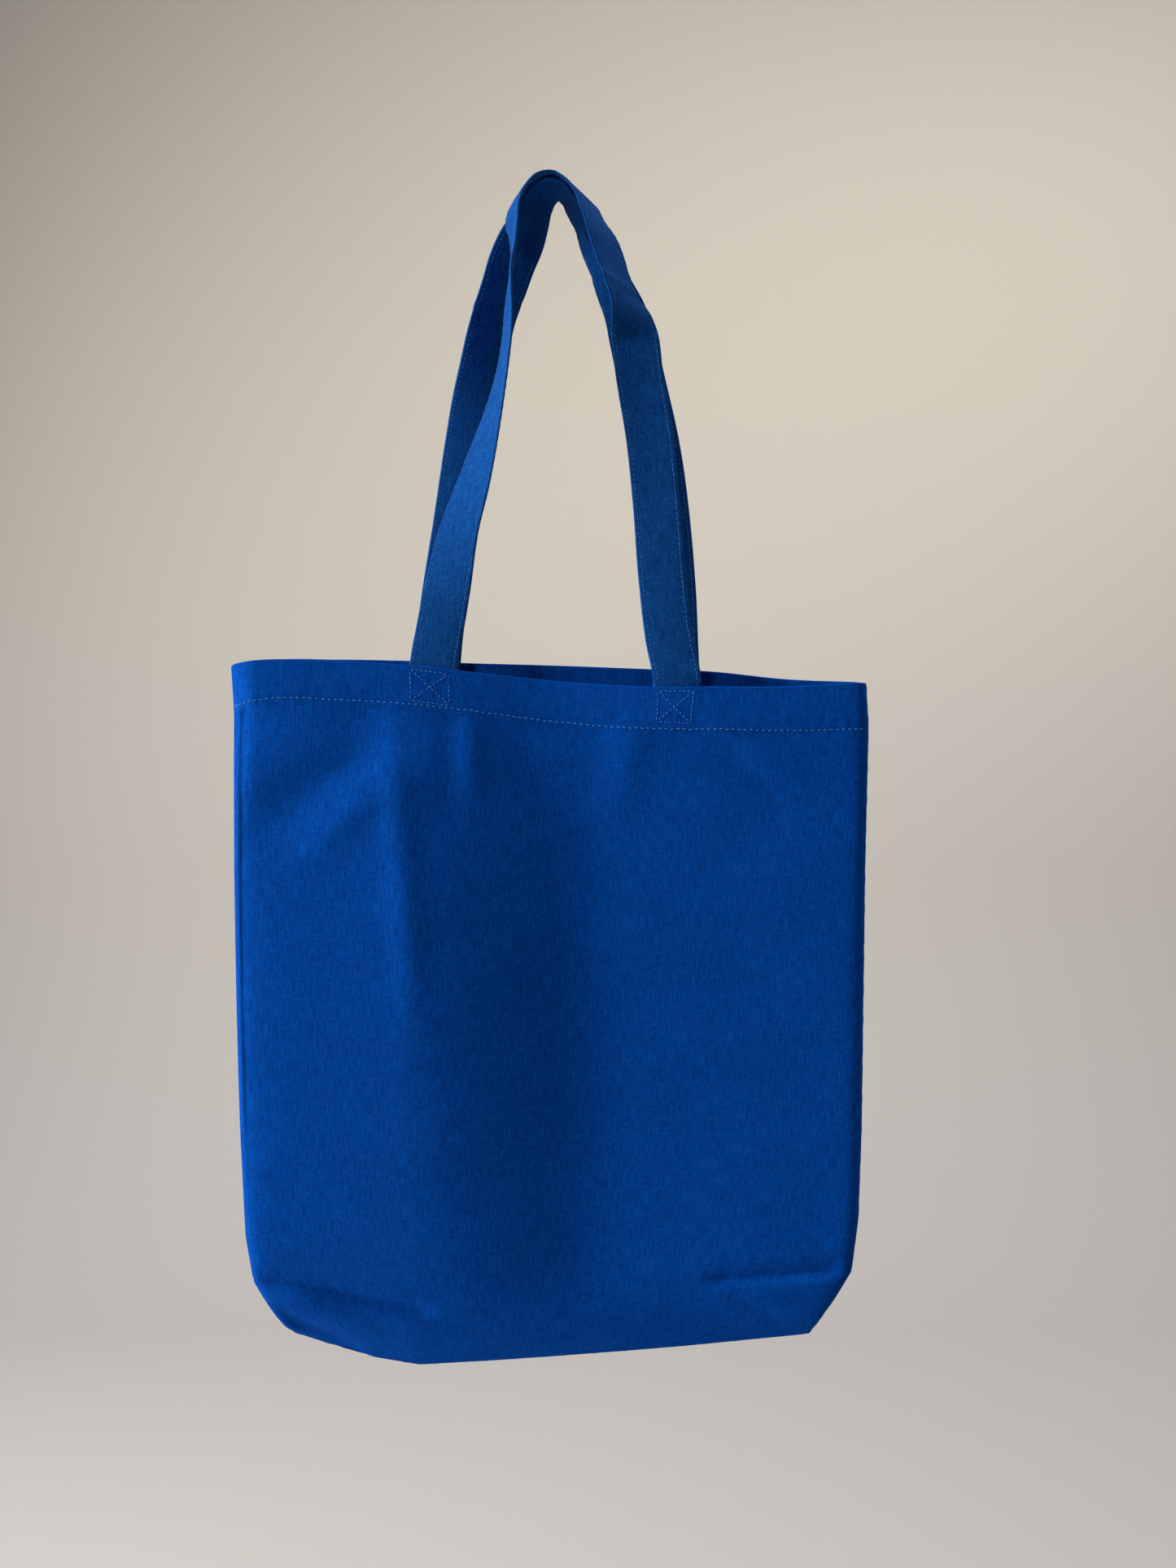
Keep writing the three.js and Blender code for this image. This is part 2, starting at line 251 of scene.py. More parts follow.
def front_depths(x, left, right, v):
    """How far the front cloth stands off the seams, in mm."""
    proud = smooth(FOLD_ROW_AT, PROUD_Y, v)
    flat = smooth(FOLD_ROW_AT, FLAT_Y, v)
    start = FOLD_TOP_X + (FOLD_LOW_X - FOLD_TOP_X) * v
    end = FOLD_TOP_END_X + (FOLD_LOW_END_X - FOLD_TOP_END_X) * v
    fall = smooth(FALL_AT, FALL, (x - start) / (end - start))
    rise = rounding(x - left, LEFT_ROUND) * rounding(right - x, RIGHT_ROUND)
    return (proud + (flat - proud) * fall) * rise


def crease(x, z, line, groove, bulge):
    """A sharp concave fold along a line of (x, z) places, with the cloth swelling just below it."""
    xs, zs = np.array(line, float).T
    below = smooth(xs, zs, x) - z
    ends = step(xs[0] - 4, xs[0] + 12, x) * (1 - step(xs[-1] - 10, xs[-1] + 6, x))
    swell = bulge * hump(below, 9, 7)
    sharp = groove * hump(below, 0, 2.4)
    soft = 0.6 * groove * hump(below, -3, 5)
    return ends * (swell - sharp - soft)


def front_folds(x, z, u, v):
    """How far the front cloth stands out from its plain shape, in mm."""
    out = sum(height * ridge(x, z, start, end, width) for height, start, end, width in FRONT_RIDGES)
    proud_corner = 4.5 * hump(x, -190, 70) * (1 - step(0.08, 0.3, v))
    dip_between_handles = 2.4 * hump(x, -12, 46) * (1 - step(0.1, 0.32, v))
    out += proud_corner - dip_between_handles
    out += crease(x, z, LEFT_CREASE, 2.7, 0.9)
    out += crease(x, z, RIGHT_CREASE, 2.0, 0.7)
    out += 0.6 * wander(x, z, 90, 3) * step(0.07, 0.2, v) * (1 - step(0.93, 1, v))
    out += 0.07 * wander(x, z, 22, 5) * (1 - step(0.95, 1, v))
    return out * step(0, 0.05, u) * (1 - step(0.95, 1, u))


def back_folds(x, z, u, v):
    """How far the back cloth stands out from its plain shape, in mm."""
    out = 1.2 * wander(x, z, 120, 11) * step(0.07, 0.2, v) * (1 - step(0.93, 1, v))
    out += 0.25 * wander(x, z, 22, 12)
    return np.minimum(out, 1.5) * step(0, 0.05, u) * (1 - step(0.95, 1, u))


def hem_relief(x, depth, side):
    """The doubled cloth of the hem, its folded edge, and the pull of its stitches."""
    doubled = 0.45 * (1 - step(HEM_DEPTH - 0.8, HEM_DEPTH + 0.5, depth))
    pull = -0.35 * hump(depth, 22.2, 1.1)
    puff = 0.25 * hump(depth, 12, 9) * (1 + 0.5 * np.sin(x / 5.5 + side) * np.sin(x / 13.0))
    pucker = 0.16 * np.sin(2 * math.pi * x / (HEM_STITCH[1] * 2.4)) * hump(depth, 22.2, 4)
    return doubled + pull + puff + pucker


def panel_points(u, v, side):
    """Outer face of a panel in mm. u runs left to right, v from the mouth to the bottom seam."""
    zs = FRONT_Z if side == FRONT else BACK_Z
    heights = smooth(COLUMN_AT, np.array(rows_below_mouth(zs), float).T, u[0]).T
    heights[-1] = np.interp(u[0], COLUMN_AT, zs[-1])
    z = smooth(ROW_AT, heights, v[:, 0])
    left = np.interp(v[:, 0], ROW_AT, LEFT_X)[:, None]
    right = np.interp(v[:, 0], ROW_AT, RIGHT_X)[:, None]
    x = left + (right - left) * u
    if side == FRONT:
        y = front_depths(x, left, right, v)
    else:
        y = smooth(ROW_AT, smooth(COLUMN_AT, np.array(BACK_Y, float).T, u[0]).T, v[:, 0])
    folds = front_folds if side == FRONT else back_folds
    out = np.maximum(y, 0) + SEAM_Y + folds(x, z, u, v)
    depth = z[:1] - z
    seam_fade = step(0, 0.012, u) * (1 - step(0.988, 1, u))
    out += hem_relief(x, depth, side) * seam_fade
    if side == FRONT:
        out += left_ridge(x - left, depth)
    return np.stack([x, side * out, z], -1)


def left_ridge(inset, depth):
    """The seam allowance that shows through the front, just inside the left edge."""
    below_hem = step(HEM_DEPTH - 2, HEM_DEPTH + 4, depth)
    groove = -2.8 * hump(inset, 3.2, 1.1)
    allowance = 1.3 * step(3.4, 5.0, inset) * (1 - step(8.6, 10.6, inset))
    allowance *= 1 - step(230, 330, depth)
    return (groove + allowance) * below_hem + 0.25 * hump(inset, 2, 2) * (1 - below_hem)


def edge_packed(count):
    """Places from 0 to 1, closer together near both ends, where the seams need detail."""
    t = np.linspace(0, 1, count)
    return t - 0.82 * np.sin(2 * math.pi * t) / (2 * math.pi)


def hem_packed(count):
    """Places from 0 to 1 with a third of them in the hem, and more again near the bottom."""
    return smooth([0, 0.28, 0.7, 1], [0, 0.075, 0.72, 1], np.linspace(0, 1, count))


def normals_of(points):
    across = np.gradient(points, axis=1)
    down = np.gradient(points, axis=0)
    normal = np.cross(across, down)
    return normal / np.maximum(np.linalg.norm(normal, axis=-1, keepdims=True), 1e-9)


class Panel:
    """One cloth panel, kept so that stitches can be laid on it."""

    def __init__(self, side):
        self.side = side
        self.u = edge_packed(COLUMNS_ACROSS)
        self.v = hem_packed(ROWS_DOWN)
        u, v = np.meshgrid(self.u, self.v)
        self.points = panel_points(u, v, side)
        self.normals = normals_of(self.points)
        if np.mean(self.normals[..., 1]) * side < 0:
            self.normals = -self.normals

    def at(self, x, depth):
        """Point and outward direction at a distance x and a depth below the mouth, in mm."""
        x = np.atleast_1d(np.asarray(x, float))
        depth = np.atleast_1d(np.asarray(depth, float))
        across = self.points[..., 0]
        below_mouth = self.points[:1, :, 2] - self.points[..., 2]
        columns = np.arange(len(self.u))
        rows = np.arange(len(self.v))
        row = np.full(x.shape, 0.0)
        column = np.full(x.shape, 0.0)
        for _ in range(PLACE_ROUNDS):
            r = np.clip(row, 0, rows[-1]).astype(int)
            column = np.array([np.interp(a, across[b], columns) for a, b in zip(x, r)])
            c = np.clip(np.round(column), 0, columns[-1]).astype(int)
            row = np.array([np.interp(d, below_mouth[:, b], rows) for d, b in zip(depth, c)])
        return grid_sample(self.points, row, column), grid_sample(self.normals, row, column)


def grid_sample(grid, row, column):
    r = np.clip(np.floor(row).astype(int), 0, grid.shape[0] - 2)
    c = np.clip(np.floor(column).astype(int), 0, grid.shape[1] - 2)
    a = np.clip(row - r, 0, 1)[:, None]
    b = np.clip(column - c, 0, 1)[:, None]
    top = grid[r, c] * (1 - b) + grid[r, c + 1] * b
    low = grid[r + 1, c] * (1 - b) + grid[r + 1, c + 1] * b
    return top * (1 - a) + low * a


# ---------------------------------------------------------------- meshes

def new_object(name, vertices, faces, uvs=None, material=None):
    """A smooth mesh from points in mm, with cloth places in metres as its UVs."""
    mesh = bpy.data.meshes.new(name)
    mesh.from_pydata((np.asarray(vertices) * MM).tolist(), [], [list(f) for f in faces])
    mesh.validate()
    mesh.polygons.foreach_set("use_smooth", [True] * len(mesh.polygons))
    if uvs is not None:
        layer = mesh.uv_layers.new(name="cloth")
        corners = np.zeros(len(mesh.loops), int)
        mesh.loops.foreach_get("vertex_index", corners)
        layer.data.foreach_set("uv", np.asarray(uvs, float)[corners].ravel())
    obj = bpy.data.objects.new(name, mesh)
    bpy.context.scene.collection.objects.link(obj)
    if material:
        mesh.materials.append(material)
    return obj


def face_out(obj):
    bpy.context.view_layer.objects.active = obj
    for other in bpy.data.objects:
        other.select_set(other is obj)
    bpy.ops.object.mode_set(mode="EDIT")
    bpy.ops.mesh.select_all(action="SELECT")
    bpy.ops.mesh.normals_make_consistent(inside=False)
    bpy.ops.object.mode_set(mode="OBJECT")
    return obj


def grid_faces(rows, columns, start=0, closed=False):
    last = columns if closed else columns - 1
    faces = []
    for r in range(rows - 1):
        for c in range(last):
            a = start + r * columns + c
            b = start + r * columns + (c + 1) % columns
            faces.append((a, b, b + columns, a + columns))
    return faces


def panel_object(panel, name, material):
    """A closed piece of cloth: its outer face, its inner face and a rounded fold at the mouth."""
    outer = panel.points
    normal = panel.normals
    depth = outer[:1, :, 2] - outer[..., 2]
    fade = np.minimum(step(0, 0.02, panel.u), 1 - step(0.98, 1, panel.u))[None, :]
    thick = CLOTH + (HEM_CLOTH - CLOTH) * (1 - step(HEM_DEPTH - 0.4, HEM_DEPTH + 0.6, depth)) * fade
    inner = outer - normal * thick[..., None]
    inner[..., 1] = panel.side * np.maximum(panel.side * inner[..., 1], 0.12)
    middle = (outer[0] + inner[0]) / 2
    lift = np.array([0, 0, 1.0]) * (thick[0] / 2)[:, None]
    ring = [middle + (outer[0] - middle) * math.cos(a) + lift * math.sin(a)
            for a in np.linspace(0, math.pi, 7)[1:-1]]
    rows = np.concatenate([outer[::-1], np.array(ring), inner])
    count = rows.shape[0]
    columns = rows.shape[1]
    faces = grid_faces(count, columns)
    half = outer.shape[0]
    for edge in (0, columns - 1):
        faces += [(edge + r * columns, edge + (r + 1) * columns,
                   edge + (count - 2 - r) * columns, edge + (count - 1 - r) * columns)
                  for r in range(half - 1)]
    last = (count - 1) * columns
    faces += [(c, c + 1, last + c + 1, last + c) for c in range(columns - 1)]
    for edge in (0, columns - 1):
        faces.append(tuple(edge + r * columns for r in range(half - 1, count - half + 1)))
    across = np.tile(panel.u * BAG_WIDTH * MM, (count, 1))
    down = np.concatenate([panel.v[::-1], [0] * len(ring), panel.v]) * PANEL_CUT * MM
    uvs = np.stack([across, np.tile(down[:, None], (1, columns))], -1).reshape(-1, 2)
    return face_out(new_object(name, rows.reshape(-1, 3), faces, uvs, material))


def stitch_mesh(name, stitches, material, thread=THREAD):
    """Separate short stitches, each rising out of the cloth and diving back in."""
    lengthwise = [0, 0.18, 0.5, 0.82, 1]
    rise = [-0.9, 0.5, 0.85, 0.5, -0.9]
    girth = [0.7, 1, 1.08, 1, 0.7]
    sides = 6
    vertices = []
    faces = []
    for start, end, normal in stitches:
        along = end - start
        beside = np.cross(along, normal)
        beside /= max(np.linalg.norm(beside), 1e-9)
        base = len(vertices)
        for t, up, fat in zip(lengthwise, rise, girth):
            centre = start + along * t + normal * up * thread
            for k in range(sides):
                angle = 2 * math.pi * k / sides
                vertices.append(centre + thread * fat * (beside * math.cos(angle) + normal * math.sin(angle)))
        faces += grid_faces(len(lengthwise), sides, base, closed=True)
        faces.append(tuple(base + k for k in range(sides))[::-1])
        faces.append(tuple(base + (len(lengthwise) - 1) * sides + k for k in range(sides)))
    return new_object(name, vertices, faces, None, material)


def stitch_line(points, normals, length, pitch, wobble=0.12):
    """Stitches at an even pitch along a line of points."""
    points = np.asarray(points)
    gaps = np.linalg.norm(np.diff(points, axis=0), axis=1)
    run = np.concatenate([[0], np.cumsum(gaps)])
    stitches = []
    place = (run[-1] % pitch) / 2
    while place + length < run[-1]:
        ends = []
        for offset in (0, length):
            at = place + offset
            ends.append(np.array([np.interp(at, run, points[:, k]) for k in range(3)]))
        normal = np.array([np.interp(place + length / 2, run, normals[:, k]) for k in range(3)])
        normal /= np.linalg.norm(normal)
        beside = np.cross(ends[1] - ends[0], normal)
        beside /= np.linalg.norm(beside)
        shift = beside * rng.normal(0, wobble)
        turn = beside * rng.normal(0, wobble)
        stitches.append((ends[0] + shift - turn, ends[1] + shift + turn, normal))
        place += pitch * (1 + rng.normal(0, 0.03))
    return stitches


# ---------------------------------------------------------------- stitches on the hems

# (x, depth) ends of the doubled stitches at the left end of the hem and of the run up its corner.
BACKSTITCH = [(-194.0, 24.8), (-182.0, 23.4)]
CORNER_STITCH = [(-193.0, 5.0), (-192.2, 20.0)]
HEM_LINE_AT = [0, 0.02, 0.06, 0.2, 0.4, 0.5, 0.6, 0.8, 0.95, 1]
HEM_LINE_DEPTH = [24.2, 23.6, 22.4, 22.2, 22.4, 23.4, 24, 24.6, 26, 27]


def hem_line(panel, depths):
    u = np.linspace(0.006, 0.996, 240)
    x = panel.points[0, 0, 0] + u * (panel.points[0, -1, 0] - panel.points[0, 0, 0])
    return panel.at(x, smooth(HEM_LINE_AT, depths, u))


def straight(panel, start, end, count=24):
    """Points and outward directions along a straight line of (x, depth) on a panel."""
    t = np.linspace(0, 1, count)[:, None]
    line = np.array(start) * (1 - t) + np.array(end) * t
    return panel.at(line[:, 0], line[:, 1])


def hem_stitches(panel):
    depths = HEM_LINE_DEPTH if panel.side == FRONT else [22.5] * len(HEM_LINE_DEPTH)
    points, normals = hem_line(panel, depths)
    stitches = stitch_line(points, normals, *HEM_STITCH)
    if panel.side == FRONT:
        stitches += stitch_line(*straight(panel, BACKSTITCH[0], BACKSTITCH[1]), *HEM_STITCH)
        stitches += stitch_line(*straight(panel, CORNER_STITCH[0], CORNER_STITCH[1]), *HEM_STITCH)
    return stitches


# Corners of each box of stitches as (x, depth below the mouth): two top corners, two bottom.
BOXES = {
    ("front", "left"): [(-88.2, 1.6), (-66.2, 2.2), (-65.6, 20.6), (-88.0, 20.0)],
    ("front", "right"): [(56.6, 2.0), (77.6, 2.0), (75.4, 20.8), (55.8, 19.8)],
    ("back", "left"): [(-86.8, 1.8), (-64.4, 2.0), (-64.2, 20.6), (-86.6, 20.4)],
    ("back", "right"): [(57.6, 2.0), (79.6, 2.0), (79.4, 20.8), (57.4, 20.6)],
}


def box_stitches(panel, corners):
    stitches = []
    order = [(0, 1), (1, 2), (2, 3), (3, 0), (0, 2), (1, 3)]
    for a, b in order:
        points, normals = straight(panel, corners[a], corners[b])
        stitches += stitch_line(points, normals, *BOX_STITCH, wobble=0.1)
    return stitches


# ---------------------------------------------------------------- the handles

# Centre line of each handle in mm as (x, y, z, turn), from the left root over the hook to the
# right root. Turn is the angle of the webbing's width about the vertical, in degrees.
FRONT_LOOP = [
    (-76.6, -11.6, -306, 0), (-75.9, -11.2, -290, 0), (-75.0, -10.0, -280, 0), (-72, -8, -262, 0),
    (-68, -6.6, -239, -8), (-61, -6.4, -203, -26), (-53.7, -7, -179.5, -36), (-45.8, -9, -153, -50),
    (-39.4, -10.5, -129.5, -63), (-34.8, -12.5, -109, -71), (-31.8, -14, -88, -75),
    (-30.9, -15.5, -70, -79), (-29.8, -16.5, -56, -84), (-27.9, -16.8, -44, -82.5),
    (-27.8, -17.6, -32, -78), (-28.2, -18.3, -20, -70), (-23.6, -16.3, -9, -68),
    (-18.3, -11.5, -1.4, -66), (-11, -6.6, 2.2, -73), (-3.5, -5.8, 1.8, -88), (5.4, -8, -2.2, -108),
    (13.5, -11.5, -10, -120), (17.6, -14.5, -19.6, -122), (22.7, -17, -31.5, -130),
    (27, -16.8, -43, -133), (32.4, -16, -59, -130), (37, -14.2, -71, -132),
    (41.3, -11.4, -83, -157), (43.2, -10, -93, -176), (45.4, -6.5, -109, -180),
    (51.9, -5, -149, -180), (55.7, -5, -187.5, -180), (59.2, -5.2, -232, -180),
    (63.3, -5.6, -267, -180), (67.8, -6.6, -290, -180), (68.6, -6.4, -302, -180),
    (69.4, -5.8, -318, -180),
]
BACK_LOOP = [
    (-76.4, 7.9, -301, 0), (-75.8, 7.6, -284, 0), (-74.8, 6.6, -273, 0), (-63.9, 6, -196, 0),
    (-56, 6.5, -144, 6), (-52.3, 7.2, -121.5, 12), (-47.9, 8, -100.5, 19), (-45, 8.5, -86, 25),
    (-41, 8.5, -70, 30), (-35.1, 7.5, -53, 24), (-30.7, 6.7, -40, 16), (-26.2, 6, -30, 19),
    (-21.8, 6, -22, 34), (-18.0, 4.2, -14, 48), (-15.1, 2.2, -7, 56), (-10.8, -0.4, -1.5, 65),
    (-5.5, -2.6, 0.5, 78), (0, -2.4, -1.4, 89), (5.0, -1.2, -8.6, 96), (11.4, -0.7, -18, 103),
    (17.9, 2, -30, 117), (25.4, 4.8, -42, 130), (30.8, 6.5, -55, 136), (37, 8, -68, 148),
    (42.2, 9, -85, 165), (46.4, 8.5, -104, 174), (55.9, 6.3, -146, 180), (62.3, 5.8, -190, 180),
    (66.2, 6, -236, 180), (67.8, 6.6, -272, 180), (68.4, 7.6, -284, 180), (68.8, 7.9, -306, 180),
]
# Pressed creases: (handle, height of the crease at the middle, lean, right leg, how proud it stands).
CREASES = {"front": [(-62, -0.45, True, 0.9), (-20, 0.5, False, 0.4)],
           "back": [(-63, 0.5, False, 1.1), (-48, -0.5, True, 0.7)]}
STRAP_STEP = 1.6
EDGE_INSET = 2.4


class Band:
    """A handle as a run of places along its centre line, so that stitches can be laid on it."""

    def __init__(self, stations, side):
        stations = np.array(stations, float)
        self.side = side
        run = np.concatenate([[0], np.cumsum(np.linalg.norm(np.diff(stations[:, :3], axis=0), axis=1))])
        count = int(run[-1] / STRAP_STEP)
        self.run = np.linspace(0, run[-1], count)
        self.centre = smooth(run, stations[:, :3], self.run)
        turn = np.radians(smooth(run, stations[:, 3], self.run))
        across = np.stack([np.cos(turn), np.sin(turn), np.zeros_like(turn)], -1)
        tangent = np.gradient(self.centre, axis=0)
        tangent /= np.linalg.norm(tangent, axis=1, keepdims=True)
        across -= tangent * np.sum(across * tangent, axis=1, keepdims=True)
        self.across = across / np.linalg.norm(across, axis=1, keepdims=True)
        self.face = np.cross(self.across, tangent) * -side
        self.tangent = tangent
        self.length = float(np.sum(np.linalg.norm(np.diff(self.centre, axis=0), axis=1)))

    def place(self, width, out):
        """Points at a distance across the band and a height off its middle, in mm."""
        return self.centre + self.across * np.reshape(width, (-1, 1)) + self.face * np.reshape(out, (-1, 1))


def crease_relief(band, width, creases):
    """Height of the pressed creases along one line of the strap."""
    apex = np.argmax(band.centre[:, 2])
    total = np.zeros(len(band.run))
    for height, lean, right_leg, proud in creases:
        leg = np.arange(apex, len(band.run)) if right_leg else np.arange(apex, -1, -1)
        at = np.interp(-height, -band.centre[leg, 2], band.run[leg])
        total += proud * hump(band.run, at + lean * width, 2.2)
    return total


def strap_bow(band, edge):
    """How the strap's middle bows out along its run. edge is the share of the way to its edge."""
    return 0.5 * (1 - edge ** 2) * np.sin(band.run / 47.0 + 0.7)


def strap_profile():
    """Half the thickness of the folded strap across its width: soft folds outside the stitches."""
    half = STRAP_WIDTH / 2
    widths = np.array([-1, -0.985, -0.95, -0.9, -0.86, -0.828, -0.79, -0.74, -0.5, -0.17]) * half
    shares = np.array([0, 0.5, 0.85, 1.0, 0.92, 0.78, 0.9, 0.98, 1.0, 0.97])
    widths = np.concatenate([widths, -widths[::-1]])
    shares = np.concatenate([shares, shares[::-1]])
    return widths, shares * STRAP_CLOTH / 2


def strap_object(band, name, creases, material):
    widths, heights = strap_profile()
    count = len(band.run)
    pucker = 0.10 * np.sin(2 * math.pi * band.run / (EDGE_STITCH[1] * 2.0))
    waver = 0.35 * np.sin(band.run / 31.0) + 0.2 * np.sin(band.run / 11.3 + 1)
    rings = []
    order = list(range(len(widths))) + list(range(len(widths) - 2, 0, -1))
    upper = [True] * len(widths) + [False] * (len(widths) - 2)
    for index, top in zip(order, upper):
        edge = abs(widths[index]) / (STRAP_WIDTH / 2)
        sign = 1 if top else -1
        bow = strap_bow(band, edge)
        near_edge = step(0.6, 0.8, edge) * (1 - step(0.97, 1, edge))
        width = widths[index] + waver * 0.25 * np.sign(widths[index]) * edge
        bend = crease_relief(band, widths[index], creases)
        rings.append(band.place(width, sign * heights[index] + bow + bend + near_edge * pucker))
    points = np.stack(rings, 1)
    columns = points.shape[1]
    faces = grid_faces(count, columns, closed=True)
    faces.append(tuple(range(columns))[::-1])
    faces.append(tuple((count - 1) * columns + k for k in range(columns)))
    across = widths[order] * MM
    across = np.where(upper, across, across + 0.05)
    along = band.run[:, None] * MM
    uvs = np.stack([np.tile(across, (count, 1)), np.tile(along, (1, columns))], -1).reshape(-1, 2)
    return face_out(new_object(name, points.reshape(-1, 3), faces, uvs, material))


def strap_stitches(band, edge, creases):
    stitches = []
    width = edge * (STRAP_WIDTH / 2 - EDGE_INSET)
    half = 0.78 * STRAP_CLOTH / 2
    bow = strap_bow(band, width / (STRAP_WIDTH / 2)) + crease_relief(band, width, creases)
    for out in (-1, 1):
        points = band.place(np.full(len(band.run), width), out * half + bow)
        stitches += stitch_line(points, band.face * out, *EDGE_STITCH, wobble=0.06)
    return stitches


# ---------------------------------------------------------------- seams

SIDE_SEAM_RADIUS = 0.9
CORNER_SEAM_RADIUS = 1.1
SEAM_INSET = 0.6
BOTTOM_SEAM_LIFT = 0.4
# Shares of the panel's height: the side seam and the corner seam overlap a little.
SIDE_SEAM_END = 0.872
CORNER_SEAM_START = 0.86


def welt(name, centres, radius, material, sides=8):
    """A slim raised seam along a line of points in mm, with an uneven sewn look."""
    centres = np.asarray(centres, float)
    run = np.concatenate([[0], np.cumsum(np.linalg.norm(np.diff(centres, axis=0), axis=1))])
    count = max(int(run[-1] / 1.2), 8)
    at = np.linspace(0, run[-1], count)
    middle = smooth(run, centres, at)
    tangent = np.gradient(middle, axis=0)
    tangent /= np.linalg.norm(tangent, axis=1, keepdims=True)
    flat = np.tile(np.array([0, 1.0, 0]), (count, 1))
    flat -= tangent * np.sum(flat * tangent, axis=1, keepdims=True)
    flat /= np.linalg.norm(flat, axis=1, keepdims=True)
    other = np.cross(tangent, flat)
    uneven = 1 + 0.16 * np.sin(at / 1.9) * np.sin(at / 7.0 + 1)
    end_taper = np.minimum(1, np.minimum(at, run[-1] - at) / 2 + 0.75)
    size = radius * uneven * end_taper
    rings = []
    for k in range(sides):
        angle = 2 * math.pi * k / sides
        rings.append(middle + (flat * math.cos(angle) + other * math.sin(angle)) * size[:, None])
    points = np.stack(rings, 1)
    faces = grid_faces(count, sides, closed=True)
    faces.append(tuple(range(sides))[::-1])
    faces.append(tuple((count - 1) * sides + k for k in range(sides)))
    uvs = np.stack([np.tile(np.linspace(0, 4 * radius * MM, sides), (count, 1)),
                    np.tile(at[:, None] * MM, (1, sides))], -1).reshape(-1, 2)
    return face_out(new_object(name, points.reshape(-1, 3), faces, uvs, material))


def edge_points(panel, side_column, low, high, inset):
    """Points along one side edge of a panel between two shares of its height."""
    v = panel.v
    keep = (v >= low) & (v <= high)
    points = panel.points[keep, side_column].copy()
    points[:, 1] = 0
    points[:, 0] += inset
    return np.concatenate([points[:-1:3], points[-1:]])


# ---------------------------------------------------------------- materials

# Linear colours of the dyed cloth: dark between the yarns, middle, and light on the slubs.
CANVAS_DYE = [(0.0004, 0.028, 0.19), (0.0008, 0.058, 0.34), (0.0022, 0.105, 0.52)]
# The strap's colours are greyer than the canvas's. That greyness is a painted haze of sheen and glare over
# the same blue dye.
STRAP_DYE_WITH_PAINTED_SHEEN = [(0.0018, 0.034, 0.17), (0.0036, 0.055, 0.236), (0.008, 0.088, 0.325)]
SEAM_DYE = [(0.0006, 0.022, 0.15), (0.0012, 0.046, 0.27), (0.003, 0.085, 0.42)]
# Dark and light of the thread.
HEM_THREAD_DYE = [(0.035, 0.15, 0.46), (0.085, 0.26, 0.66)]
STRAP_THREAD_DYE = [(0.028, 0.11, 0.37), (0.07, 0.205, 0.54)]
SHEEN_TINT = (0.55, 0.65, 0.75)
# Yarn unevenness as (features to the metre across, along, share): the upright yarns show most.
WEAVE = [(120, 1050, 0.18), (1050, 90, 0.32), (340, 2200, 0.2), (2200, 300, 0.3)]


class Nodes:
    """Short names for building one material's node tree."""

    def __init__(self, name):
        self.material = bpy.data.materials.new(name)
        self.material.use_nodes = True
        self.tree = self.material.node_tree
        self.shader = self.tree.nodes["Principled BSDF"]

    def add(self, kind, **settings):
        node = self.tree.nodes.new(kind)
        for key, value in settings.items():
            setattr(node, key, value)
        return node

    def join(self, source, target):
        self.tree.links.new(source, target)
        return target

    def maths(self, operation, a, b=0.0, clamp=False):
        node = self.add("ShaderNodeMath", operation=operation, use_clamp=clamp)
        for socket, value in zip(node.inputs, (a, b)):
            if hasattr(value, "links"):
                self.join(value, socket)
            else:
                socket.default_value = value
        return node.outputs[0]

    def cloth(self, scale_across, scale_along):
        """Cloth places from the UVs, scaled so that one unit is one feature."""
        uv = self.add("ShaderNodeUVMap", uv_map="cloth")
        scale = self.add("ShaderNodeVectorMath", operation="MULTIPLY")
        scale.inputs[1].default_value = (scale_across, scale_along, 1)
        self.join(uv.outputs[0], scale.inputs[0])
        return scale.outputs[0]

    def noise(self, vector, scale=1.0, detail=3.0, rough=0.55):
        node = self.add("ShaderNodeTexNoise")
        node.inputs["Scale"].default_value = scale
        node.inputs["Detail"].default_value = detail
        node.inputs["Roughness"].default_value = rough
        self.join(vector, node.inputs["Vector"])
        return node.outputs["Fac"]

    def place(self):
        return self.add("ShaderNodeTexCoord").outputs["Object"]

    def ramp(self, factor, stops):
        node = self.add("ShaderNodeValToRGB")
        elements = node.color_ramp.elements
        while len(elements) < len(stops):
            elements.new(0.5)
        for element, (position, colour) in zip(elements, stops):
            element.position = position
            element.color = (*colour, 1)
        self.join(factor, node.inputs[0])
        return node.outputs[0]

    def bump(self, height, strength, distance, before=None):
        node = self.add("ShaderNodeBump")
        node.inputs["Strength"].default_value = strength
        node.inputs["Distance"].default_value = distance
        self.join(height, node.inputs["Height"])
        if before is not None:
            self.join(before, node.inputs["Normal"])
        return node.outputs[0]


def sheen_of(nodes, weight, roughness, tint):
    nodes.shader.inputs["Sheen Weight"].default_value = weight
    nodes.shader.inputs["Sheen Roughness"].default_value = roughness
    nodes.shader.inputs["Sheen Tint"].default_value = (*tint, 1)
    nodes.shader.inputs["Specular IOR Level"].default_value = 0.02


